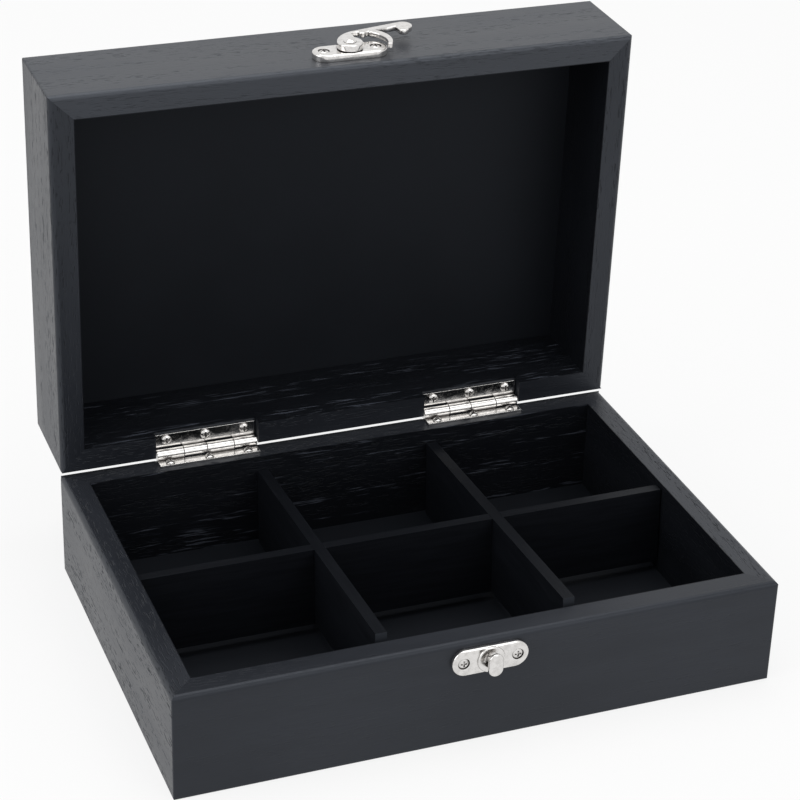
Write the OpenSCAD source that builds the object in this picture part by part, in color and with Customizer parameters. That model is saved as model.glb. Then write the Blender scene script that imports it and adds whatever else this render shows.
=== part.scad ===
// Tea bag organizer: a black stained wooden box with a hinged lid, two butt
// hinges, a swing hook latch and a loose grid that makes six compartments.
// The origin is the centre of the underside: X to the right, Y to the back,
// Z up, and the front with the latch is at -Y. At rest the lid stands open,
// the hook is swung aside and the grid lies tilted, its front end raised.

/* [Box] */
// Outer width, left to right
box_w = 240; // [210:1:320]
// Outer depth, front to back
box_d = 163; // [130:1:220]
// Height of the base, underside to rim
base_h = 44.6; // [40:0.2:80]
// Height of the lid, rim to top
lid_h = 41.8; // [36:0.2:80]
// Thickness of the four side walls
wall_t = 10; // [9:0.5:14]
// Thickness of the bottom panel
bottom_t = 5; // [3:0.5:8]
// Thickness of the lid's top panel
top_t = 6; // [3:0.5:10]
// Rounding of the outer edges of the rims, apart from the back walls'
rim_r = 2; // [0.5:0.25:3]
// Rounding of the outer edges of the back walls' rims
back_rim_r = 0.4; // [0.3:0.1:1.5]
// Easing of every other outer edge
edge_r = 0.8; // [0.3:0.1:1.5]
// Gap between the two rims when the lid is shut
rim_gap = 0.3; // [0.2:0.1:1]
// Angle of the open lid
lid_open = 88.5; // [0:0.5:88.5]

/* [Divider grid] */
// Thickness of the boards
board_t = 4.6; // [3:0.2:7]
// Distance of the seated boards' top below the rim
grid_drop = 6.6; // [3:0.2:12]
// Play between the grid and the front and back walls, and above the bottom
grid_gap = 0.3; // [0.2:0.1:1]
// Play at each end of the long board
end_gap = 0.7; // [0.3:0.1:2]
// Play of the halved joints, on each side
halving_gap = 0.1; // [0.05:0.05:0.3]
// Tilt of the loose grid, its front end raised
grid_tilt = 3.5; // [0:0.5:4]

/* [Hinges] */
// Distance of each hinge's middle from the middle of the box
hinge_x = 58.6; // [40:0.2:70]
// Length of each of the base leaf's two knuckles
base_knuckle = 11.2; // [9:0.2:14]
// Length of each of the lid leaf's two knuckles
lid_knuckle = 9.6; // [8:0.2:14]
// Gap between neighbouring knuckles
knuckle_gap = 0.3; // [0.2:0.1:0.6]
// Outer radius of the knuckles
barrel_r = 2.4; // [2.3:0.1:3]
// Radius of the hinge pin
pin_r = 1.1; // [0.8:0.1:1.4]
// Clearance of the pin in the lid leaf's knuckles
pin_gap = 0.05; // [0.03:0.01:0.1]
// Distance of the hinge pin in front of the back faces
hinge_inset = 0.3; // [0:0.1:1]
// Thickness of the leaves
leaf_t = 0.9; // [0.7:0.1:1.1]
// Reach of the base leaf from the pin's axis
base_leaf_reach = 6.6; // [6.5:0.1:8]
// Reach of the lid leaf from the pin's axis
lid_leaf_reach = 8.5; // [8.2:0.1:9]
// Room round a turning knuckle
knuckle_room = 0.35; // [0.2:0.05:0.6]
// Room at each end of the mortise in the lid's back wall
mortise_room = 0.6; // [0.3:0.1:2]

/* [Screws] */
// Radius of the screws' shanks
shank_r = 1.25; // [1:0.05:1.5]
// Clearance of a shank in its hole
shank_gap = 0.05; // [0.03:0.01:0.1]
// Length of a screw below its head
screw_len = 8; // [6:0.5:8.5]
// Distance of the outer hinge screws from the middle one
hinge_screw_pitch = 16.6; // [12:0.2:17]
// Distance of the base leaf's screws from the pin's axis
base_screw_reach = 4.6; // [4.55:0.05:4.7]
// Distance of the lid leaf's screws from the pin's axis
lid_screw_reach = 5.9; // [5.5:0.1:6.2]
// Radius of the heads of the base leaf's screws
base_head_r = 1.85; // [1.7:0.05:1.85]
// Radius of the heads of the lid leaf's screws
lid_head_r = 2.1; // [1.8:0.1:2.2]
// Height of the hinge screws' heads
hinge_head_h = 1.2; // [0.8:0.1:1.3]
// Radius of the latch and catch screws' heads
plate_head_r = 2.1; // [1.8:0.1:2.2]
// Height of the latch and catch screws' heads
plate_head_h = 1; // [0.8:0.1:1.2]
// Depth of the seats that sink the latch and catch screws' heads
head_seat = 0.8; // [0.5:0.1:1]

/* [Latch plate] */
// Position of the latch, right of the middle
latch_x = 2.4; // [1.4:0.1:3.4]
// Height of the hook's pivot above the lid's rim
latch_z = 10.2; // [9:0.1:14]
// Length of the latch plate
latch_len = 30.6; // [28:0.2:34]
// Width of the latch plate
latch_w = 10.6; // [10:0.1:12]
// Thickness of the latch plate
latch_t = 3; // [2.5:0.1:4]
// Rounding of the latch plate's upper edge
latch_edge_r = 0.8; // [0.3:0.1:1.4]
// Distance of the screws of both plates from the middle
plate_screw_x = 10.7; // [10.2:0.1:11.2]

/* [Hook] */
// Angle that the hook is swung down towards the catch
hook_swing = 0; // [-90:1:119]
// Radius of the disc round the hook's pivot
disc_r = 5.1; // [4:0.1:5.4]
// Thickness of the hook
hook_t = 2.2; // [1.6:0.1:2.4]
// Play between the pivot disc and the latch plate
disc_gap = 0.3; // [0.2:0.05:0.4]
// Step from the disc's underside up to the arm's underside
arm_lift = 0.4; // [0.1:0.1:0.5]
// Outer radius of the curved arm
arm_r = 13; // [12.6:0.1:13.4]
// Reach of the curved arm to the left of the pivot
arm_left = 5.4; // [5.1:0.1:5.7]
// Height of the curved arm's top above the pivot
arm_top = 10.8; // [10.6:0.1:11]
// Slope of the finger
finger_slope = 12; // [11:0.5:13]
// Width of the finger
finger_w = 3.4; // [3:0.1:3.6]
// Radius of the finger's rounded end
lobe_r = 3.6; // [3.4:0.1:3.8]
// Distance of the finger's rounded end from the pivot, along the finger
lobe_x = 28.1; // [27.6:0.1:28.6]
// Radius of the toe that drops behind the stud
toe_r = 2.1; // [1.9:0.1:2.3]
// Place of the toe from the pivot, along and across the finger
toe_at = [26.3, 2.5];
// How much smaller the C scroll's inner radius is than the arm's
scroll_in_less = 3.8; // [3.5:0.1:4.2]
// Centre of the scroll's inner circle, from the arm's centre
scroll_in_at = [-1.7, 1.9];
// How much smaller the C scroll's outer radius is than the arm's
scroll_out_less = 1; // [0.8:0.1:1.2]
// Centre of the scroll's outer circle, from the arm's centre
scroll_out_at = [-2.2, 3];
// Angle at which the scroll ends, below its centre
scroll_end = 28; // [20:1:50]
// Left end of the scroll's hollow
hollow_x = 3.4; // [3:0.1:4]
// Radius of the cusp inside the arm's top
cusp_r = 1.5; // [1.2:0.1:1.8]
// Angle of the cusp above the centre of the hollow
cusp_angle = 76; // [70:1:80]
// Radius of the rivet's shank
rivet_r = 1.5; // [1.2:0.1:1.8]
// Clearance of the rivet in the hook
rivet_gap = 0.05; // [0.03:0.01:0.1]
// Radius of the rivet's domed head
rivet_head_r = 2.6; // [2.2:0.1:3]
// Height of the rivet's domed head
rivet_head_h = 1.1; // [0.8:0.1:1.4]

/* [Catch] */
// Position of the catch, right of the middle
catch_x = 0.4; // [-0.6:0.1:1.4]
// Length of the catch plate
catch_len = 30.4; // [28:0.2:34]
// Width of the catch plate
catch_w = 11; // [10.4:0.1:12]
// Thickness of the catch plate
catch_t = 2.2; // [1.8:0.1:2.4]
// Rounding of the catch plate's upper edge
catch_edge_r = 0.7; // [0.3:0.1:1]
// Distance of the catch plate's middle below the base's rim
catch_drop = 8; // [7.5:0.1:9]
// Radius of the round boss on the catch plate
boss_r = 5.4; // [4.6:0.1:5.4]
// Height of the boss over the plate
boss_h = 0.7; // [0.4:0.1:0.9]
// Radius of the dish round the stud, in the boss
dish_r = 3.2; // [2.8:0.1:3.6]
// Depth of the dish
dish_depth = 1.6; // [0.6:0.1:1.8]
// Distance of the stud's neck below the hook's pivot when the lid is shut
neck_reach = 19.3; // [19.2:0.1:19.4]
// Width of the stud's neck
neck_w = 2.6; // [2:0.1:2.8]
// Height of the stud's neck, along the wall
neck_h = 3; // [2.6:0.1:3.2]
// Width of the stud's head
head_w = 5.8; // [5:0.1:7]
// Height of the stud's head, along the wall
head_l = 9.5; // [8:0.1:10]
// Thickness of the stud's head
head_t = 1.3; // [1:0.1:1.8]
// Distance of the stud's head above the middle of its neck
head_shift = 1.1; // [0:0.1:1.5]
// Play between the hook and the stud's head
hook_gap = 0.3; // [0.2:0.1:0.6]

/* [Hidden] */
$fn = 96;
inner_w = box_w - 2 * wall_t;
inner_d = box_d - 2 * wall_t;
lid_z = base_h + rim_gap;
over = 1;

// Grid: the boards stand between the front and back walls as far as their tilt lets them
board_h = base_h - bottom_t - grid_drop;
cross_len = (inner_d - 2 * grid_gap - board_h * sin(grid_tilt)) / cos(grid_tilt);
long_len = inner_w - 2 * end_gap;
cross_x = (inner_w + board_t) / 6;
grid_back = inner_d / 2 - grid_gap - board_h * sin(grid_tilt);

// Hinges: the base leaf lies on the rim, so the pin is one barrel radius above it
axis_y = box_d / 2 - hinge_inset;
axis_z = base_h + barrel_r;
hinge_len = 2 * (base_knuckle + lid_knuckle) + 3 * knuckle_gap;
base_starts = [0, base_knuckle + lid_knuckle + 2 * knuckle_gap];
lid_starts = [base_knuckle + knuckle_gap, 2 * base_knuckle + lid_knuckle + 3 * knuckle_gap];
hinge_screw_xs = [-hinge_screw_pitch, 0, hinge_screw_pitch];
hole_r = shank_r + shank_gap;
seat_gap = 0.2;
cross_w = 0.7;

// Hook: the arm's circle, the finger's upper edge as its tangent, and the scroll's circles
arm_c = [arm_r - arm_left, arm_top - arm_r];
finger_x = arm_c.x * cos(finger_slope) + arm_c.y * sin(finger_slope);
finger_y = arm_c.y * cos(finger_slope) - arm_c.x * sin(finger_slope) + arm_r;
scroll_in_r = arm_r - scroll_in_less;
scroll_in_c = arm_c + scroll_in_at;
scroll_out_r = arm_r - scroll_out_less;
scroll_out_c = arm_c + scroll_out_at;
scroll_end_r = 1;
toe_taper = 0.6;

// Latch: heights over the front faces
disc_low = latch_t + disc_gap;
arm_low = disc_low + arm_lift;
hook_top = arm_low + hook_t;
rivet_top = hook_top + 0.1;
rivet_tail = 0.8;
stud_head_low = hook_top + hook_gap;
dish_floor = catch_t + boss_h - dish_depth;
neck_z = lid_z + latch_z - neck_reach;
catch_z = base_h - catch_drop;

module black_wood() {
    color([0.16, 0.17, 0.2]) children();
}

module grid_wood() {
    color([0.1, 0.1, 0.12]) children();
}

module nickel() {
    color([0.8, 0.8, 0.82]) children();
}

// Places what is drawn in the shut lid's frame where the open lid has it
module opened() {
    translate([0, axis_y, axis_z]) rotate([-lid_open, 0, 0]) translate([0, -axis_y, -axis_z]) children();
}

// Section of a wall: inner face at x = 0, outer face at x = wall_t
module wall_section(h, low_r, high_r) {
    translate([0, low_r]) square([wall_t, h - low_r - high_r]);
    square([wall_t - low_r, h / 2]);
    translate([0, h / 2]) square([wall_t - high_r, h / 2]);
    translate([wall_t - low_r, low_r]) circle(low_r);
    translate([wall_t - high_r, h - high_r]) circle(high_r);
}

module rounded_rectangle(w, d, r) {
    square([w - 2 * r, d], center = true);
    square([w, d - 2 * r], center = true);
    for (sx = [-1, 1], sy = [-1, 1])
        translate([sx * (w / 2 - r), sy * (d / 2 - r)]) circle(r);
}

// A wall whose outer face looks to +Y, mitred at both ends
module wall(length, depth, h, low_r, high_r) {
    intersection() {
        translate([-length / 2, depth / 2 - wall_t, 0]) rotate([90, 0, 90])
            linear_extrude(length) wall_section(h, low_r, high_r);
        linear_extrude(h) intersection() {
            rounded_rectangle(length, depth, edge_r);
            polygon([
                [-length / 2, depth / 2], [length / 2, depth / 2],
                [length / 2 - wall_t, depth / 2 - wall_t], [wall_t - length / 2, depth / 2 - wall_t]
            ]);
        }
    }
}

module base_wall(length, depth, rounding = rim_r) {
    wall(length, depth, base_h, edge_r, rounding);
}

module lid_wall(length, depth, rounding = rim_r) {
    translate([0, 0, lid_z]) wall(length, depth, lid_h, rounding, edge_r);
}

// Frames of the two hinges: X along the pin, the leaves reach to -Y
module at_hinge(side) {
    translate([side * hinge_x, axis_y, axis_z]) children();
}

module along_pin(r, length) {
    rotate([0, 90, 0]) cylinder(r = r, h = length, center = true);
}

// Frames on the front faces: x right, y up, z out of the wall
module on_front(x, z) {
    translate([x, -box_d / 2, z]) rotate([90, 0, 0]) children();
}

module at_latch() {
    on_front(latch_x, lid_z + latch_z) children();
}

module at_catch() {
    on_front(catch_x, catch_z) children();
}

module at_plate_screws() {
    for (side = [-1, 1]) translate([side * plate_screw_x, 0, 0]) children();
}

// Hole for a screw's shank below z = 0
module pilot_hole(depth) {
    translate([0, 0, -depth]) cylinder(r = hole_r, h = depth + over);
}

// A cross-head screw: z = 0 is the seat under its domed head
module screw(head_r, head_h) {
    edge_h = 0.4 * head_h;
    dome_h = head_h - edge_h;
    dome_r = (head_r * head_r + dome_h * dome_h) / (2 * dome_h);
    tip = 1.5;
    difference() {
        rotate_extrude() intersection() {
            square([head_r, head_h]);
            translate([0, head_h - dome_r]) circle(dome_r, $fn = 180);
        }
        for (a = [0, 90]) rotate(a)
            translate([-head_r * 0.6, -cross_w / 2, head_h * 0.4]) cube([head_r * 1.2, cross_w, head_h]);
    }
    translate([0, 0, tip - screw_len]) cylinder(r = shank_r, h = screw_len - tip);
    translate([0, 0, -screw_len]) cylinder(r1 = 0.3, r2 = shank_r, h = tip);
}

// Half of a flat plate's section, its upper outer edge rounded
module plate_section(half_w, t, r) {
    square([half_w - r, t]);
    square([half_w, t - r]);
    translate([half_w - r, t - r]) circle(r);
}

// A plate with round ends and a rounded upper edge, lying on z = 0
module rounded_plate(length, width, t, r) {
    straight = length - width;
    translate([-straight / 2, 0, 0]) rotate([90, 0, 90]) linear_extrude(straight) {
        plate_section(width / 2, t, r);
        mirror([1, 0]) plate_section(width / 2, t, r);
    }
    for (side = [-1, 1]) translate([side * straight / 2, 0, 0])
        rotate_extrude() plate_section(width / 2, t, r);
}

// Seats and holes of a plate's two screws
module plate_screw_holes(t) {
    at_plate_screws() {
        translate([0, 0, t - head_seat]) cylinder(r = plate_head_r + seat_gap, h = head_seat + over);
        translate([0, 0, -over]) cylinder(r = hole_r, h = t + over);
    }
}

module plate_screws(t) {
    at_plate_screws() translate([0, 0, t - head_seat]) screw(plate_head_r, plate_head_h);
}

module plate_pilot_holes(t) {
    at_plate_screws() pilot_hole(screw_len + head_seat - t + over / 2);
}

// Space swept by the knuckles
module knuckle_space(length) {
    along_pin(barrel_r + knuckle_room, length);
}

// Places of a leaf's screws, in its hinge's frame
module at_leaf_screws(reach) {
    for (x = hinge_screw_xs) translate([x, -reach, leaf_t - barrel_r]) children();
}

// A hinge leaf lying under the pin, with its two knuckles
module leaf(reach, screw_reach, starts, knuckle_len, other_starts, other_len) {
    difference() {
        translate([-hinge_len / 2, -reach, -barrel_r]) cube([hinge_len, reach, leaf_t]);
        for (s = other_starts)
            translate([s - knuckle_gap - hinge_len / 2, -barrel_r - knuckle_room, -barrel_r - over])
                cube([other_len + 2 * knuckle_gap, 2 * barrel_r, leaf_t + 2 * over]);
        at_leaf_screws(screw_reach)
            translate([0, 0, -leaf_t - over]) cylinder(r = hole_r, h = leaf_t + 2 * over);
        along_pin(pin_r + pin_gap, hinge_len + 2 * over);
    }
    for (s = starts) translate([s + (knuckle_len - hinge_len) / 2, 0, 0]) difference() {
        along_pin(barrel_r, knuckle_len);
        along_pin(pin_r + pin_gap, knuckle_len + 2 * over);
    }
}

module base_leaf(side) {
    nickel() at_hinge(side)
        leaf(base_leaf_reach, base_screw_reach, base_starts, base_knuckle, lid_starts, lid_knuckle);
}

module lid_leaf(side) {
    nickel() opened() at_hinge(side) mirror([0, 0, 1])
        leaf(lid_leaf_reach, lid_screw_reach, lid_starts, lid_knuckle, base_starts, base_knuckle);
}

module hinge_pin(side) {
    nickel() at_hinge(side) along_pin(pin_r, hinge_len);
}

module at_base_screws(side) {
    at_hinge(side) at_leaf_screws(base_screw_reach) children();
}

module at_lid_screws(side) {
    at_hinge(side) mirror([0, 0, 1]) at_leaf_screws(lid_screw_reach) children();
}

module hinge_base_screws(side) {
    nickel() at_base_screws(side) screw(base_head_r, hinge_head_h);
}

module hinge_lid_screws(side) {
    nickel() opened() at_lid_screws(side) screw(lid_head_r, hinge_head_h);
}

module base_front_wall() {
    black_wood() difference() {
        rotate(180) base_wall(box_w, box_d);
        at_catch() plate_pilot_holes(catch_t);
    }
}

module base_back_wall() {
    black_wood() difference() {
        base_wall(box_w, box_d, back_rim_r);
        for (side = [-1, 1]) {
            at_hinge(side) knuckle_space(hinge_len + 2 * mortise_room);
            at_base_screws(side) pilot_hole(screw_len + over / 2);
        }
    }
}

module base_left_wall() {
    black_wood() rotate(90) base_wall(box_d, box_w);
}

module base_right_wall() {
    black_wood() rotate(-90) base_wall(box_d, box_w);
}

module base_bottom_panel() {
    black_wood() translate([-inner_w / 2, -inner_d / 2, 0]) cube([inner_w, inner_d, bottom_t]);
}

module lid_front_wall() {
    black_wood() opened() difference() {
        rotate(180) lid_wall(box_w, box_d);
        at_latch() plate_pilot_holes(latch_t);
    }
}

module lid_back_wall() {
    black_wood() opened() difference() {
        lid_wall(box_w, box_d, back_rim_r);
        for (side = [-1, 1]) {
            at_hinge(side) {
                translate([-hinge_len / 2 - mortise_room, -box_d / 2, -2 * barrel_r])
                    cube([hinge_len + 2 * mortise_room, box_d, 3 * barrel_r]);
                knuckle_space(hinge_len + 2 * mortise_room);
            }
            at_lid_screws(side) pilot_hole(screw_len + over / 2);
        }
    }
}

module lid_left_wall() {
    black_wood() opened() rotate(90) lid_wall(box_d, box_w);
}

module lid_right_wall() {
    black_wood() opened() rotate(-90) lid_wall(box_d, box_w);
}

module lid_top_panel() {
    black_wood() opened()
        translate([-inner_w / 2, -inner_d / 2, lid_z + lid_h - top_t]) cube([inner_w, inner_d, top_t]);
}

// Frame of the grid: y = 0 at its back end, z = 0 at its underside
module in_grid() {
    translate([0, grid_back, bottom_t + grid_gap]) rotate([-grid_tilt, 0, 0]) children();
}

module long_divider() {
    slot_w = board_t + 2 * halving_gap;
    grid_wood() in_grid() translate([0, -cross_len / 2, 0]) difference() {
        translate([-long_len / 2, -board_t / 2, 0]) cube([long_len, board_t, board_h]);
        for (side = [-1, 1])
            translate([side * cross_x - slot_w / 2, -board_t, board_h / 2]) cube([slot_w, 2 * board_t, board_h]);
    }
}

module cross_divider(side) {
    slot_w = board_t + 2 * halving_gap;
    grid_wood() in_grid() translate([side * cross_x - board_t / 2, 0, 0]) difference() {
        translate([0, -cross_len, 0]) cube([board_t, cross_len, board_h]);
        translate([-board_t / 2, -(cross_len + slot_w) / 2, -board_h / 2]) cube([2 * board_t, slot_w, board_h]);
    }
}

module latch_plate() {
    nickel() opened() at_latch() difference() {
        rounded_plate(latch_len, latch_w, latch_t, latch_edge_r);
        plate_screw_holes(latch_t);
        translate([0, 0, -over]) cylinder(r = rivet_r + rivet_gap, h = latch_t + 2 * over);
        translate([0, 0, -over]) cylinder(r = rivet_head_r + rivet_gap, h = rivet_tail + over);
    }
}

module latch_screws() {
    nickel() opened() at_latch() plate_screws(latch_t);
}

// The hook's pivot: a domed head, a shank and a flattened tail behind the plate
module latch_rivet() {
    dome_r = (rivet_head_r * rivet_head_r + rivet_head_h * rivet_head_h) / (2 * rivet_head_h);
    nickel() opened() at_latch() {
        translate([0, 0, rivet_top]) rotate_extrude() intersection() {
            square([rivet_head_r, rivet_head_h]);
            translate([0, rivet_head_h - dome_r]) circle(dome_r, $fn = 180);
        }
        cylinder(r = rivet_r, h = rivet_top);
        cylinder(r = rivet_head_r, h = rivet_tail - rivet_gap);
    }
}

// The finger, with x along its upper edge
module finger() {
    lobe_y = finger_y - lobe_r;
    translate([finger_x, finger_y - finger_w]) square([lobe_x - finger_x, finger_w]);
    translate([lobe_x, lobe_y]) circle(lobe_r);
    translate(toe_at) circle(toe_r);
    polygon([
        [toe_at.x - toe_r, toe_at.y], [toe_at.x + toe_r, toe_at.y],
        [lobe_x + lobe_r, lobe_y], [toe_at.x - toe_r + toe_taper, lobe_y]
    ]);
}

// The C scroll, from under the finger to its lower tip
module scroll() {
    reach = 2 * scroll_out_r;
    intersection() {
        translate(scroll_out_c) circle(scroll_out_r);
        translate(scroll_in_c) polygon([
            [0, 0],
            for (a = [-scroll_end, 10, 60]) reach * [cos(a), sin(a)]
        ]);
    }
    mid = scroll_in_r + scroll_end_r;
    translate(scroll_in_c + mid * [cos(scroll_end), -sin(scroll_end)]) circle(scroll_end_r);
}

module hook_outline() {
    shoulder_low = 1.5;
    circle(disc_r);
    difference() {
        union() {
            intersection() {
                translate(arm_c) circle(arm_r);
                translate([-2 * disc_r, shoulder_low]) square([2 * disc_r + arm_c.x, arm_r]);
            }
            rotate(finger_slope) finger();
            scroll();
        }
        intersection() {
            translate(scroll_in_c) circle(scroll_in_r);
            translate([hollow_x, -arm_r]) square(2 * arm_r);
        }
    }
    translate(scroll_in_c + scroll_in_r * [cos(cusp_angle), sin(cusp_angle)]) circle(cusp_r);
}

module latch_hook() {
    nickel() opened() at_latch() rotate(-hook_swing) {
        translate([0, 0, arm_low]) linear_extrude(hook_t) difference() {
            hook_outline();
            circle(rivet_r + rivet_gap);
        }
        translate([0, 0, disc_low]) linear_extrude(arm_lift) difference() {
            circle(disc_r);
            circle(rivet_r + rivet_gap);
        }
    }
}

module catch_plate() {
    tenon_y = neck_z - catch_z;
    nickel() at_catch() difference() {
        union() {
            rounded_plate(catch_len, catch_w, catch_t, catch_edge_r);
            rotate_extrude() plate_section(boss_r, catch_t + boss_h, 0.8 * boss_h);
        }
        plate_screw_holes(catch_t);
        translate([0, 0, dish_floor]) cylinder(r = dish_r, h = dish_depth + over);
        translate([0, tenon_y, -over]) cylinder(r = neck_w / 2 + rivet_gap, h = catch_t + 2 * over);
    }
}

// The stud: a round tenon in the plate, a neck and a long head that holds the hook
module catch_stud() {
    nickel() on_front(catch_x, neck_z) {
        cylinder(r = neck_w / 2, h = dish_floor);
        translate([-neck_w / 2, -neck_h / 2, dish_floor]) cube([neck_w, neck_h, stud_head_low - dish_floor]);
        translate([0, head_shift, stud_head_low]) rotate(90)
            rounded_plate(head_l, head_w, head_t, head_t / 2);
    }
}

module catch_screws() {
    nickel() at_catch() plate_screws(catch_t);
}

module left_hinge_base_leaf() {
    base_leaf(-1);
}

module left_hinge_lid_leaf() {
    lid_leaf(-1);
}

module left_hinge_pin() {
    hinge_pin(-1);
}

module left_hinge_base_screws() {
    hinge_base_screws(-1);
}

module left_hinge_lid_screws() {
    hinge_lid_screws(-1);
}

module right_hinge_base_leaf() {
    base_leaf(1);
}

module right_hinge_lid_leaf() {
    lid_leaf(1);
}

module right_hinge_pin() {
    hinge_pin(1);
}

module right_hinge_base_screws() {
    hinge_base_screws(1);
}

module right_hinge_lid_screws() {
    hinge_lid_screws(1);
}

module left_cross_divider() {
    cross_divider(-1);
}

module right_cross_divider() {
    cross_divider(1);
}

base_front_wall();
base_back_wall();
base_left_wall();
base_right_wall();
base_bottom_panel();
lid_front_wall();
lid_back_wall();
lid_left_wall();
lid_right_wall();
lid_top_panel();
long_divider();
left_cross_divider();
right_cross_divider();
left_hinge_base_leaf();
left_hinge_lid_leaf();
left_hinge_pin();
left_hinge_base_screws();
left_hinge_lid_screws();
right_hinge_base_leaf();
right_hinge_lid_leaf();
right_hinge_pin();
right_hinge_base_screws();
right_hinge_lid_screws();
latch_plate();
latch_screws();
latch_rivet();
latch_hook();
catch_plate();
catch_stud();
catch_screws();
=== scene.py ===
import math

import bmesh
import bpy
from mathutils import Matrix, Vector
from mathutils.geometry import delaunay_2d_cdt, tessellate_polygon


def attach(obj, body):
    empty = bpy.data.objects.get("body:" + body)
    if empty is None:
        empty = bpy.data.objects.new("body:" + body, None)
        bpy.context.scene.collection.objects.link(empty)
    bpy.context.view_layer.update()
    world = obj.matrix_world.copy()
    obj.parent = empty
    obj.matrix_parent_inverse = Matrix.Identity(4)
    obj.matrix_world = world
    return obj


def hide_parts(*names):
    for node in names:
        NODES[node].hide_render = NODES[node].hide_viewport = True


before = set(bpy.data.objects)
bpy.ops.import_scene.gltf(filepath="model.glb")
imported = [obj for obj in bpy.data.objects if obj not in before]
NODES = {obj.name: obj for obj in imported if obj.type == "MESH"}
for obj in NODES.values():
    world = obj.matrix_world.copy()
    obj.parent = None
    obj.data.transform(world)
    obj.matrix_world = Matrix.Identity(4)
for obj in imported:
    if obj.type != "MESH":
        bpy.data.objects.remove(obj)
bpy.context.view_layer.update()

MM = 0.001

# Sizes of the model that the looks need, in millimetres; the hook's heights are over the lid's front face
BOX_W, BOX_D, WALL_T = 240.0, 163.0, 10.0
LID_Z = 44.9
AXIS_Y, AXIS_Z = 81.2, 47.0
LID_OPEN = math.radians(88.5)
LATCH_X, LATCH_Z = 2.4, LID_Z + 10.2
DISC_R, DISC_LOW, ARM_LOW, HOOK_TOP = 5.1, 3.3, 3.7, 5.9
BORE_R = 1.55
HOLE_SIDES, DISC_SIDES = 48, 64

# Rounding of the hook's edges, and how far its disc reaches into its arm
HOOK_LOW_EDGE_R, HOOK_TOP_EDGE_R, DISC_EDGE_R = 0.3, 0.5, 0.15
DISC_OVERLAP = 0.3

# Distances within which mesh points are one point, and lie at one height
SAME_POINT, LEVEL = 0.005, 0.002

# The camera of the photograph: its place in metres and its axes
CAMERA_PLACE = (-0.30274, -0.75131, 0.53701)
CAMERA_RIGHT = Vector((0.9349, -0.3537, 0.0278))
CAMERA_UP = Vector((0.1448, 0.4520, 0.8803))
CAMERA_FORWARD = Vector((0.3239, 0.8189, -0.4738))
CAMERA_LENS, CAMERA_SENSOR = 108.45, 36.0

# How much of the floor's look is its own white, for rays from the camera, metal and glass
FLOOR_WHITE_SHARE = 0.82
FLOOR_GREY = 0.95
SKY_STRENGTH = 0.55


# Camera, lights and floor
def make_camera():
    data = bpy.data.cameras.new("camera")
    data.lens = CAMERA_LENS
    data.sensor_width = CAMERA_SENSOR
    data.sensor_fit = "HORIZONTAL"
    data.clip_start = 0.05
    data.clip_end = 20
    camera = bpy.data.objects.new("camera", data)
    bpy.context.scene.collection.objects.link(camera)
    axes = Matrix((CAMERA_RIGHT, CAMERA_UP, -CAMERA_FORWARD)).transposed()
    turn = axes.to_quaternion().to_matrix()
    camera.matrix_world = Matrix.Translation(CAMERA_PLACE) @ turn.to_4x4()
    bpy.context.scene.camera = camera


def area_light(name, place, target, size, power):
    data = bpy.data.lights.new(name, "AREA")
    data.shape = "RECTANGLE"
    data.size, data.size_y = size
    data.energy = power
    lamp = bpy.data.objects.new(name, data)
    bpy.context.scene.collection.objects.link(lamp)
    aim = Vector(target) - Vector(place)
    lamp.matrix_world = Matrix.Translation(place) @ aim.to_track_quat("-Z", "Y").to_matrix().to_4x4()


def seen_directly(tree):
    """1 for rays from the camera and for those that metal and glass show, and 0 for light."""
    path = tree.nodes.new("ShaderNodeLightPath")
    either = tree.nodes.new("ShaderNodeMath")
    either.operation = "MAXIMUM"
    every = tree.nodes.new("ShaderNodeMath")
    every.operation = "MAXIMUM"
    tree.links.new(path.outputs["Is Camera Ray"], either.inputs[0])
    tree.links.new(path.outputs["Is Glossy Ray"], either.inputs[1])
    tree.links.new(either.outputs[0], every.inputs[0])
    tree.links.new(path.outputs["Is Transmission Ray"], every.inputs[1])
    return every.outputs[0]


def make_world():
    world = bpy.data.worlds.new("studio")
    bpy.context.scene.world = world
    world.use_nodes = True
    tree = world.node_tree
    tree.nodes.clear()
    out = tree.nodes.new("ShaderNodeOutputWorld")
    mix = tree.nodes.new("ShaderNodeMixShader")
    tree.links.new(seen_directly(tree), mix.inputs["Fac"])
    for slot, strength in ((1, SKY_STRENGTH), (2, 1.0)):
        glow = tree.nodes.new("ShaderNodeBackground")
        glow.inputs["Color"].default_value = (1, 1, 1, 1)
        glow.inputs["Strength"].default_value = strength
        tree.links.new(glow.outputs[0], mix.inputs[slot])
    tree.links.new(mix.outputs[0], out.inputs["Surface"])


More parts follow.
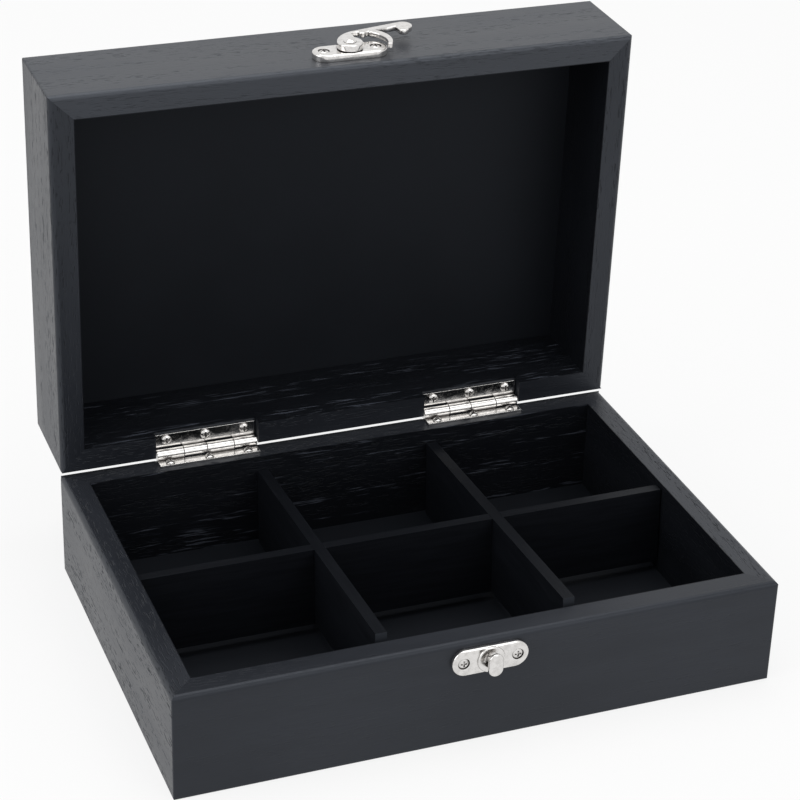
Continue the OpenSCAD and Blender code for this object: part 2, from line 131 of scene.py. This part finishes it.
def make_floor():
    mesh = bpy.data.meshes.new("floor")
    half, below = 4.0, 0.00005
    corners = [(-half, -half, 0), (half, -half, 0), (half, half, 0), (-half, half, 0)]
    mesh.from_pydata(corners, [], [(0, 1, 2, 3)])
    floor = bpy.data.objects.new("floor", mesh)
    floor.location.z = -below
    bpy.context.scene.collection.objects.link(floor)
    mat = bpy.data.materials.new("floor")
    mat.use_nodes = True
    tree = mat.node_tree
    tree.nodes.clear()
    out = tree.nodes.new("ShaderNodeOutputMaterial")
    matte = tree.nodes.new("ShaderNodeBsdfDiffuse")
    matte.inputs["Color"].default_value = (FLOOR_GREY, FLOOR_GREY, FLOOR_GREY, 1)
    glow = tree.nodes.new("ShaderNodeEmission")
    glow.inputs["Color"].default_value = (1, 1, 1, 1)
    glow.inputs["Strength"].default_value = 1.0
    share = tree.nodes.new("ShaderNodeMath")
    share.operation = "MULTIPLY"
    share.inputs[1].default_value = FLOOR_WHITE_SHARE
    mix = tree.nodes.new("ShaderNodeMixShader")
    tree.links.new(seen_directly(tree), share.inputs[0])
    tree.links.new(share.outputs[0], mix.inputs["Fac"])
    tree.links.new(matte.outputs[0], mix.inputs[1])
    tree.links.new(glow.outputs[0], mix.inputs[2])
    tree.links.new(mix.outputs[0], out.inputs["Surface"])
    mesh.materials.append(mat)


# Materials
class Shader:
    """A principled material with short calls for its nodes."""

    def __init__(self, name):
        self.mat = bpy.data.materials.new(name)
        self.mat.use_nodes = True
        self.tree = self.mat.node_tree
        self.bsdf = self.tree.nodes["Principled BSDF"]

    def link(self, a, b):
        self.tree.links.new(a, b)

    def feed(self, socket, value):
        if isinstance(value, bpy.types.NodeSocket):
            self.link(value, socket)
        else:
            socket.default_value = value

    def math(self, kind, a, b=0.0, clamp=False):
        node = self.tree.nodes.new("ShaderNodeMath")
        node.operation = kind
        node.use_clamp = clamp
        self.feed(node.inputs[0], a)
        self.feed(node.inputs[1], b)
        return node.outputs[0]

    def vector(self, kind, a, b):
        node = self.tree.nodes.new("ShaderNodeVectorMath")
        node.operation = kind
        self.feed(node.inputs[0], a)
        self.feed(node.inputs[1], b)
        return node.outputs[0]

    def turned(self, source, rotation=(0, 0, 0), place=(0, 0, 0)):
        node = self.tree.nodes.new("ShaderNodeMapping")
        self.feed(node.inputs["Vector"], source)
        node.inputs["Rotation"].default_value = rotation
        node.inputs["Location"].default_value = place
        return node.outputs[0]

    def noise(self, source, scale, detail=0.0, rough=0.5):
        node = self.tree.nodes.new("ShaderNodeTexNoise")
        self.link(self.vector("MULTIPLY", source, scale), node.inputs["Vector"])
        node.inputs["Scale"].default_value = 1.0
        node.inputs["Detail"].default_value = detail
        node.inputs["Roughness"].default_value = rough
        return node.outputs["Fac"]

    def step(self, value, low, high, out_low=0.0, out_high=1.0):
        node = self.tree.nodes.new("ShaderNodeMapRange")
        node.interpolation_type = "SMOOTHSTEP"
        self.feed(node.inputs["Value"], value)
        node.inputs["From Min"].default_value = low
        node.inputs["From Max"].default_value = high
        node.inputs["To Min"].default_value = out_low
        node.inputs["To Max"].default_value = out_high
        return node.outputs["Result"]

    def mix(self, share, a, b):
        node = self.tree.nodes.new("ShaderNodeMix")
        node.data_type = "RGBA"
        self.feed(node.inputs["Factor"], share)
        self.feed(node.inputs["A"], a)
        self.feed(node.inputs["B"], b)
        return [s for s in node.outputs if s.type == "RGBA"][0]

    def bump(self, height, distance, strength=1.0, under=None):
        node = self.tree.nodes.new("ShaderNodeBump")
        node.inputs["Distance"].default_value = distance
        node.inputs["Strength"].default_value = strength
        self.link(height, node.inputs["Height"])
        if under is not None:
            self.link(under, node.inputs["Normal"])
        return node.outputs["Normal"]

    def closed_place(self, on_lid):
        """Where a point lies when the box is shut, in metres."""
        here = self.tree.nodes.new("ShaderNodeTexCoord").outputs["Object"]
        if not on_lid:
            return here
        pin = (0, AXIS_Y * MM, AXIS_Z * MM)
        away = self.vector("SUBTRACT", here, pin)
        return self.turned(away, rotation=(LID_OPEN, 0, 0), place=pin)

    def axes(self, place):
        node = self.tree.nodes.new("ShaderNodeSeparateXYZ")
        self.link(place, node.inputs[0])
        return node.outputs


def rgb(r, g, b):
    return (r, g, b, 1.0)


# Colours, as linear values
WOOD_DARK = rgb(0.0042, 0.0048, 0.0065)
WOOD_BODY = rgb(0.0105, 0.0120, 0.0160)
WOOD_LIGHT = rgb(0.0170, 0.0190, 0.0245)
# Light colour of the painted glints along the grain of the walls' inner faces
PAINTED_GLINT = rgb(0.085, 0.095, 0.120)
PAINT_DARK, PAINT_LIGHT = rgb(0.0034, 0.0042, 0.0060), rgb(0.0050, 0.0060, 0.0084)
STAIN_DARK, STAIN_LIGHT = rgb(0.0022, 0.0027, 0.0040), rgb(0.0052, 0.0060, 0.0082)
END_GRAIN = rgb(0.020, 0.023, 0.029)
NICKEL_BRIGHT, NICKEL_WORN = rgb(0.74, 0.725, 0.71), rgb(0.62, 0.605, 0.59)
# Colour of the painted shade in the nickel's crevices
PAINTED_CREVICE_SHADE = rgb(0.060, 0.054, 0.050)
BLACK = rgb(0.0, 0.0, 0.0)
COOL_SHINE = rgb(0.84, 0.90, 1.0)

# Painted shade on the walls' inner faces: how much darker their colour is made than the outer faces', and
# the share of shine that they keep
INNER_PAINTED_SHADE, INNER_SHINE = 0.5, 0.35
# How far above an inner face a point still counts as inner, in millimetres
INNER_REACH = 0.3
PAINT_SHINE, STAIN_SHINE, END_GRAIN_SHINE = 0.24, 0.16, 0.3
# Depth of the crevices that get painted shade, and radius of the nickel pieces' softened edges, in
# millimetres
CREVICE, SOFT_EDGE = 1.4, 0.22


def wood(name, on_lid, along_y, pores, shine=0.5, streaks=False, seed=0.0):
    """Black stained open-grain wood of a wall; painted shade makes its inner face darker, and it is duller
    there.
    pores: how far its pores stand open; streaks: painted glints, light dashes along the grain of the inner
    face."""
    s = Shader(name)
    shut = s.closed_place(on_lid)
    across = s.axes(shut)[0 if along_y else 1]
    half = ((BOX_W if along_y else BOX_D) / 2 - WALL_T + INNER_REACH) * MM
    inner = s.math("LESS_THAN", s.math("ABSOLUTE", across), half)
    turn = math.radians(90 if along_y else 0)
    place = s.turned(shut, rotation=(0, 0, turn), place=(seed, 0.37 * seed, 0.11 * seed))
    sway = s.noise(place, (7.0, 24.0, 24.0), detail=1.0)
    sway = s.math("MULTIPLY", s.math("SUBTRACT", sway, 0.5), 0.010)
    shift = s.tree.nodes.new("ShaderNodeCombineXYZ")
    s.link(sway, shift.inputs[1])
    s.link(sway, shift.inputs[2])
    grain = s.vector("ADD", place, shift.outputs[0])

    bands = s.step(s.noise(grain, (7.0, 190.0, 190.0), detail=2.0), 0.40, 0.62)
    dash = s.noise(grain, (230.0, 1900.0, 1900.0), detail=1.0, rough=0.4)
    pore = s.step(dash, 0.575, 0.68)
    pore = s.math("MULTIPLY", pore, s.math("ADD", s.math("MULTIPLY", bands, 0.85), 0.15))
    fibre = s.noise(grain, (60.0, 2600.0, 2600.0), detail=2.0, rough=0.6)
    cloud = s.noise(place, (14.0, 60.0, 60.0), detail=3.0)

    colour = s.mix(s.step(cloud, 0.3, 0.7), WOOD_BODY, WOOD_LIGHT)
    colour = s.mix(s.math("MULTIPLY", s.step(fibre, 0.35, 0.7), 0.5), colour, WOOD_BODY)
    colour = s.mix(s.math("MULTIPLY", pore, pores), colour, WOOD_DARK)
    # Painted shade: the inner faces' colour is pulled towards black
    colour = s.mix(s.math("MULTIPLY", inner, INNER_PAINTED_SHADE), colour, BLACK)
    # Painted glints: light dashes along the grain of the inner faces, where the grain would catch the light
    if streaks:
        rows = s.step(s.noise(grain, (5.0, 150.0, 150.0), detail=1.0), 0.44, 0.58)
        painted_glint_mask = s.step(s.noise(grain, (70.0, 1150.0, 1150.0), detail=2.0, rough=0.55), 0.56, 0.70)
        painted_glint_mask = s.math("MULTIPLY", s.math("MULTIPLY", painted_glint_mask, rows), inner)
        colour = s.mix(s.math("MULTIPLY", painted_glint_mask, 0.8), colour, PAINTED_GLINT)
    s.link(colour, s.bsdf.inputs["Base Color"])
    s.bsdf.inputs["Specular Tint"].default_value = COOL_SHINE
    level = s.math("MULTIPLY", shine, s.math("SUBTRACT", 1.0, s.math("MULTIPLY", inner, 1 - INNER_SHINE)))
    s.link(level, s.bsdf.inputs["Specular IOR Level"])

    rough = s.math("ADD", 0.40, s.math("MULTIPLY", s.math("SUBTRACT", cloud, 0.5), 0.16))
    rough = s.math("ADD", rough, s.math("MULTIPLY", pore, 0.35 * pores), clamp=True)
    s.link(rough, s.bsdf.inputs["Roughness"])
    fine = s.bump(fibre, 0.00004, 0.35)
    s.link(s.bump(s.math("SUBTRACT", 1.0, pore), 0.00022 * pores, 0.9, under=fine), s.bsdf.inputs["Normal"])
    return s.mat


def panel(name, on_lid):
    """Smooth matt black paint with faint clouds."""
    s = Shader(name)
    place = s.closed_place(on_lid)
    cloud = s.noise(place, (28.0, 28.0, 28.0), detail=4.0, rough=0.6)
    speck = s.noise(place, (900.0, 900.0, 900.0), detail=1.0)
    colour = s.mix(s.step(cloud, 0.3, 0.72), PAINT_DARK, PAINT_LIGHT)
    s.link(colour, s.bsdf.inputs["Base Color"])
    s.bsdf.inputs["Specular Tint"].default_value = COOL_SHINE
    s.bsdf.inputs["Specular IOR Level"].default_value = PAINT_SHINE
    rough = s.math("ADD", 0.55, s.math("MULTIPLY", cloud, 0.14))
    s.link(rough, s.bsdf.inputs["Roughness"])
    s.link(s.bump(speck, 0.00003, 0.3), s.bsdf.inputs["Normal"])
    return s.mat


def board(name, along_y):
    """Thin black stain on the grid's boards."""
    s = Shader(name)
    here = s.tree.nodes.new("ShaderNodeTexCoord").outputs["Object"]
    place = s.turned(here, rotation=(0, 0, math.radians(90 if along_y else 0)))
    fibre = s.noise(place, (45.0, 1500.0, 700.0), detail=3.0, rough=0.6)
    cloud = s.noise(place, (20.0, 60.0, 60.0), detail=3.0)
    colour = s.mix(s.step(fibre, 0.3, 0.75), STAIN_DARK, STAIN_LIGHT)
    normal = s.tree.nodes.new("ShaderNodeNewGeometry").outputs["True Normal"]
    facing = s.axes(normal)[1 if along_y else 0]
    end_grain = s.step(s.math("ABSOLUTE", facing), 0.7, 0.9)
    colour = s.mix(end_grain, colour, END_GRAIN)
    s.link(colour, s.bsdf.inputs["Base Color"])
    s.bsdf.inputs["Specular Tint"].default_value = COOL_SHINE
    level = s.math("ADD", STAIN_SHINE, s.math("MULTIPLY", end_grain, END_GRAIN_SHINE))
    s.link(level, s.bsdf.inputs["Specular IOR Level"])
    rough = s.math("ADD", 0.46, s.math("MULTIPLY", cloud, 0.12))
    s.link(rough, s.bsdf.inputs["Roughness"])
    s.link(s.bump(fibre, 0.00005, 0.5), s.bsdf.inputs["Normal"])
    return s.mat


def nickel(name, low=0.12, high=0.28):
    """Bright nickel plating with a worn, slightly uneven skin, soft edges and painted shade darkening its
    crevices.
    """
    s = Shader(name)
    here = s.tree.nodes.new("ShaderNodeTexCoord").outputs["Object"]
    wear = s.noise(here, (420.0, 420.0, 420.0), detail=4.0, rough=0.6)
    lump = s.noise(here, (650.0, 650.0, 650.0), detail=1.0)
    scratch = s.noise(here, (500.0, 5200.0, 900.0), detail=2.0)
    colour = s.mix(s.step(wear, 0.35, 0.7), NICKEL_BRIGHT, NICKEL_WORN)
    # Painted shade: the colour darkens where ambient occlusion finds crevices and contacts
    open_air = s.tree.nodes.new("ShaderNodeAmbientOcclusion")
    open_air.samples = 8
    open_air.inputs["Distance"].default_value = CREVICE * MM
    crevice_shade = s.step(open_air.outputs["AO"], 0.35, 0.85, 0.85, 0.0)
    s.link(s.mix(crevice_shade, colour, PAINTED_CREVICE_SHADE), s.bsdf.inputs["Base Color"])
    s.bsdf.inputs["Metallic"].default_value = 1.0
    s.link(s.step(wear, 0.35, 0.75, low, high), s.bsdf.inputs["Roughness"])
    edge = s.tree.nodes.new("ShaderNodeBevel")
    edge.samples = 6
    edge.inputs["Radius"].default_value = SOFT_EDGE * MM
    soft = s.bump(lump, 0.00004, 0.4, under=edge.outputs["Normal"])
    s.link(s.bump(scratch, 0.00001, 0.4, under=soft), s.bsdf.inputs["Normal"])
    return s.mat


def dress(mat, *names):
    for name in names:
        mesh = NODES[name].data
        mesh.materials.clear()
        mesh.materials.append(mat)


# Modelled pieces
def latch_frame():
    """From the latch's own frame (x right, y up, z out of the lid's front) to the open lid's, in metres."""
    pin = Vector((0, AXIS_Y, AXIS_Z))
    opened = Matrix.Translation(pin) @ Matrix.Rotation(-LID_OPEN, 4, "X") @ Matrix.Translation(-pin)
    place = Matrix.Translation((LATCH_X, -BOX_D / 2, LATCH_Z)) @ Matrix.Rotation(math.radians(90), 4, "X")
    return Matrix.Scale(MM, 4) @ opened @ place


def cap_loops(node, to_local, height):
    """The outlines, in the local frame, of the node's flat face at that height."""
    mesh = NODES[node].data
    spots = [to_local @ v.co for v in mesh.vertices]
    faces = [list(face.vertices) for face in mesh.polygons
             if all(abs(spots[i].z - height) < LEVEL for i in face.vertices)]
    used = sorted({i for face in faces for i in face})
    index = {i: k for k, i in enumerate(used)}
    rings = [[index[i] for i in face] for face in faces]
    only_inside = 1
    points, _, tiles, *_ = delaunay_2d_cdt([spots[i].xy for i in used], [], rings, only_inside, SAME_POINT)
    sides = {(a, b) for tile in tiles for a, b in zip(tile, tile[1:] + tile[:1])}
    follow = {a: b for a, b in sides if (b, a) not in sides}
    loops = []
    while follow:
        at = min(follow)
        loop = []
        while at in follow:
            loop.append(Vector(points[at]))
            at = follow.pop(at)
        loops.append(loop)
    return loops


def signed_area(loop):
    return sum(a.x * b.y - a.y * b.x for a, b in zip(loop, loop[1:] + loop[:1])) / 2


def inset(loop, distance):
    """The closed outline moved towards its left-hand side."""
    count = len(loop)
    result = []
    for i in range(count):
        into = (loop[i] - loop[i - 1]).normalized()
        out = (loop[(i + 1) % count] - loop[i]).normalized()
        n1, n2 = Vector((-into.y, into.x)), Vector((-out.y, out.x))
        result.append(loop[i] + (n1 + n2) / max(0.4, 1 + n1.dot(n2)) * distance)
    return result


def circle_points(r, sides):
    angles = [2 * math.pi * k / sides for k in range(sides)]
    return [Vector((r * math.cos(a), r * math.sin(a))) for a in angles]


def rounded_slab(bm, outline, low, high, low_r, high_r, hole_r, steps=5):
    """A slab with rounded edges between two heights, with one round hole at the origin."""
    angles = [math.pi / 2 * k / steps for k in range(steps + 1)]
    profile = [(low_r * (1 - math.sin(a)), low + low_r * (1 - math.cos(a))) for a in angles]
    profile += [(high_r * (1 - math.cos(a)), high - high_r * (1 - math.sin(a))) for a in angles]
    rings = [[bm.verts.new((p.x, p.y, z)) for p in inset(outline, d)] for d, z in profile]
    for lower, upper in zip(rings, rings[1:]):
        for i in range(len(outline)):
            j = (i + 1) % len(outline)
            bm.faces.new((lower[i], lower[j], upper[j], upper[i])).smooth = True
    circle = circle_points(hole_r, HOLE_SIDES)
    holes = [[bm.verts.new((p.x, p.y, z)) for p in circle] for z in (low, high)]
    for i in range(HOLE_SIDES):
        j = (i + 1) % HOLE_SIDES
        bm.faces.new((holes[0][j], holes[0][i], holes[1][i], holes[1][j])).smooth = True
    for ring, hole, up in ((rings[0], holes[0], False), (rings[-1], holes[1], True)):
        verts = ring + hole
        lines = [[v.co.xy.to_3d() for v in ring], [v.co.xy.to_3d() for v in hole]]
        for tri in tessellate_polygon(lines):
            a, b, c = (verts[i] for i in tri)
            normal = (b.co - a.co).cross(c.co - a.co)
            if normal.length > 1e-9:
                bm.faces.new((a, b, c) if (normal.z > 0) == up else (a, c, b))


def piece(name, bm, to_rest, mat, body, slot, *nodes):
    """An object at the origin from a mesh in a local frame; it rides a body and replaces nodes."""
    bm.transform(to_rest)
    mesh = bpy.data.meshes.new(name)
    bm.to_mesh(mesh)
    bm.free()
    mesh.materials.append(mat)
    obj = bpy.data.objects.new(name, mesh)
    bpy.context.scene.collection.objects.link(obj)
    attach(obj, body)
    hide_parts(*nodes)
    return obj


def make_hook(mat):
    """The cast hook with its soft edges, over the CAD hook's own outline."""
    to_rest = latch_frame()
    loops = cap_loops("latch_hook", to_rest.inverted(), HOOK_TOP)
    outline = max(loops, key=lambda loop: abs(signed_area(loop)))
    if signed_area(outline) < 0:
        outline.reverse()
    bm = bmesh.new()
    rounded_slab(bm, outline, ARM_LOW, HOOK_TOP, HOOK_LOW_EDGE_R, HOOK_TOP_EDGE_R, BORE_R)
    disc = circle_points(DISC_R, DISC_SIDES)
    rounded_slab(bm, disc, DISC_LOW, ARM_LOW + DISC_OVERLAP, DISC_EDGE_R, DISC_EDGE_R, BORE_R)
    return piece("cast_hook", bm, to_rest, mat, "hook", "nickel_plate", "latch_hook")


# The scene
scene = bpy.context.scene
scene.view_settings.view_transform = "Standard"
make_camera()
make_world()
make_floor()
area_light("overhead", (0.1, 0.1, 1.6), (0, 0, 0.05), (1.4, 1.2), 9)
area_light("left_box", (-1.5, -0.2, 0.8), (0, 0, 0.1), (1.0, 1.0), 7)
area_light("front_box", (0.7, -1.6, 1.1), (0, 0, 0.1), (1.0, 0.8), 4)

dress(wood("wood_base_front", False, False, 0.18, shine=0.36, seed=0.31), "base_front_wall")
dress(wood("wood_base_back", False, False, 0.8, shine=0.45, streaks=True, seed=0.83), "base_back_wall")
dress(wood("wood_base_side", False, True, 1.0, shine=0.45, seed=1.27), "base_left_wall", "base_right_wall")
dress(wood("wood_lid_front", True, False, 0.6, shine=0.68, seed=2.05), "lid_front_wall")
dress(wood("wood_lid_back", True, False, 0.8, shine=0.45, streaks=True, seed=2.59), "lid_back_wall")
dress(wood("wood_lid_side", True, True, 0.8, shine=0.42, seed=3.13), "lid_left_wall", "lid_right_wall")
dress(panel("paint_lid_panel", True), "lid_top_panel")
dress(panel("paint_bottom_panel", False), "base_bottom_panel")
dress(board("stain_long_board", False), "long_divider")
dress(board("stain_cross_board", True), "left_cross_divider", "right_cross_divider")

plated = nickel("nickel")
for name in NODES:
    if any(word in name for word in ("hinge", "latch", "catch")):
        dress(plated, name)
make_hook(plated)
